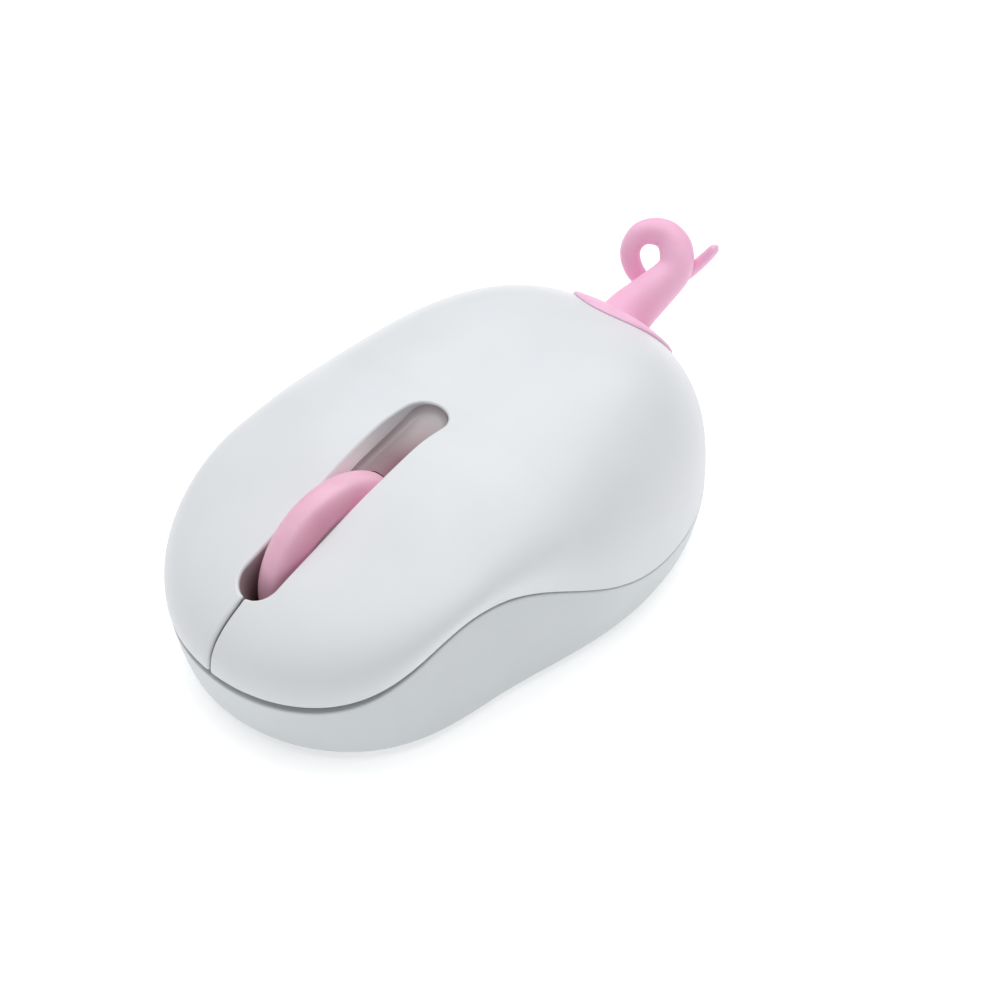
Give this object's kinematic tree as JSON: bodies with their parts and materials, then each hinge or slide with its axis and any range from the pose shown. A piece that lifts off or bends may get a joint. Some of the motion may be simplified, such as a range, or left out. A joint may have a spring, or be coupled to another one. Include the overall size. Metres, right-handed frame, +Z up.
{
  "type": "wireless computer mouse",
  "caption": "Small wireless computer mouse with a pinched waist, two buttons, a crowned scroll wheel in a long slot and a soft curled tail at the rear.",
  "frame": {"origin": "bottom centre of the box around the whole object, on the surface the glide feet rest on", "axes": "+Z up, -Y towards the buttons and wheel, +Y towards the tail, +X to the side with the left button"},
  "size_m": [0.0574, 0.0959, 0.0395],
  "materials": {
    "shell_white": "satin gloss",
    "base_white": "satin",
    "pink_soft": "matte",
    "well_grey": "matte",
    "white_abs": "matte",
    "black_plastic": "matte",
    "grey_plastic": "matte",
    "pcb_green": "satin",
    "red_plastic": "satin",
    "clear_plastic": "clear",
    "steel": "bright",
    "cell_sleeve": "gloss",
    "foot_ptfe": "smooth"
  },
  "bodies": {
    "base": {"bottom_shell": "base_white", "top_cover": "shell_white", "wheel_well": "well_grey", "tail": "pink_soft", "tail_retainer": "steel", "main_pcb": "pcb_green", "switch_left": "black_plastic", "switch_right": "black_plastic", "switch_middle": "black_plastic", "ir_emitter": "clear_plastic", "ir_detector": "black_plastic", "optical_sensor": "black_plastic", "sensor_lens": "clear_plastic", "red_led": "red_plastic", "controller_chip": "black_plastic", "crystal": "steel", "capacitor": "cell_sleeve", "battery_cell": "cell_sleeve", "battery_spring": "steel", "contact_minus": "steel", "contact_plus": "steel", "power_switch": "steel", "glide_foot_front": "foot_ptfe", "glide_foot_rear": "foot_ptfe", "case_screws": "steel", "pcb_screws": "steel"},
    "left_button": {"button_left": "shell_white"},
    "right_button": {"button_right": "shell_white"},
    "left_plunger": {"plunger_left": "red_plastic"},
    "right_plunger": {"plunger_right": "red_plastic"},
    "middle_plunger": {"plunger_middle": "red_plastic"},
    "carrier": {"wheel_carrier": "grey_plastic"},
    "wheel": {"wheel_tyre": "pink_soft", "wheel_hub": "white_abs", "encoder_disc": "black_plastic"},
    "door": {"battery_door": "base_white"},
    "knob": {"power_slider": "pink_soft"},
    "receiver": {"receiver_cap": "shell_white", "receiver_plug": "steel"}
  },
  "joints": [
    {"name": "left_click", "type": "hinge", "parent": "base", "child": "left_button", "pos_m": [0.0137, -0.0072, 0.012], "axis": [1, 0, 0], "range_deg": [0, 0.8], "stiffness_Nm_per_rad": 1.2},
    {"name": "right_click", "type": "hinge", "parent": "base", "child": "right_button", "pos_m": [-0.0137, -0.0072, 0.012], "axis": [1, 0, 0], "range_deg": [0, 0.8], "stiffness_Nm_per_rad": 1.2},
    {"name": "left_switch_press", "type": "slide", "parent": "base", "child": "left_plunger", "axis": [0, 0, -1], "range_m": [0, 0.00041]},
    {"name": "right_switch_press", "type": "slide", "parent": "base", "child": "right_plunger", "axis": [0, 0, -1], "range_m": [0, 0.00041]},
    {"name": "wheel_press", "type": "slide", "parent": "base", "child": "carrier", "axis": [0, 0, -1], "range_m": [0, 0.0004], "stiffness_N_per_m": 900},
    {"name": "middle_switch_press", "type": "slide", "parent": "base", "child": "middle_plunger", "axis": [0, 0, -1], "range_m": [0, 0.0004]},
    {"name": "wheel_spin", "type": "hinge", "parent": "carrier", "child": "wheel", "pos_m": [0, -0.0247, 0.0164], "axis": [1, 0, 0], "continuous": true},
    {"name": "door_swing", "type": "hinge", "parent": "base", "child": "door", "pos_m": [-0.013, 0.0304, 0.0005], "axis": [1, 0, 0], "range_deg": [0, 70]},
    {"name": "power_slide", "type": "slide", "parent": "base", "child": "knob", "axis": [0, 1, 0], "range_m": [0, 0.004]},
    {"name": "receiver_pull", "type": "slide", "parent": "base", "child": "receiver", "axis": [0, 0, -1], "range_m": [0, 0.019]}
  ],
  "couplings": [
    {"joint": "left_switch_press", "follows": "left_click", "m_per_rad": 0.0293},
    {"joint": "right_switch_press", "follows": "right_click", "m_per_rad": 0.0293},
    {"joint": "middle_switch_press", "follows": "wheel_press", "ratio": 1}
  ]
}
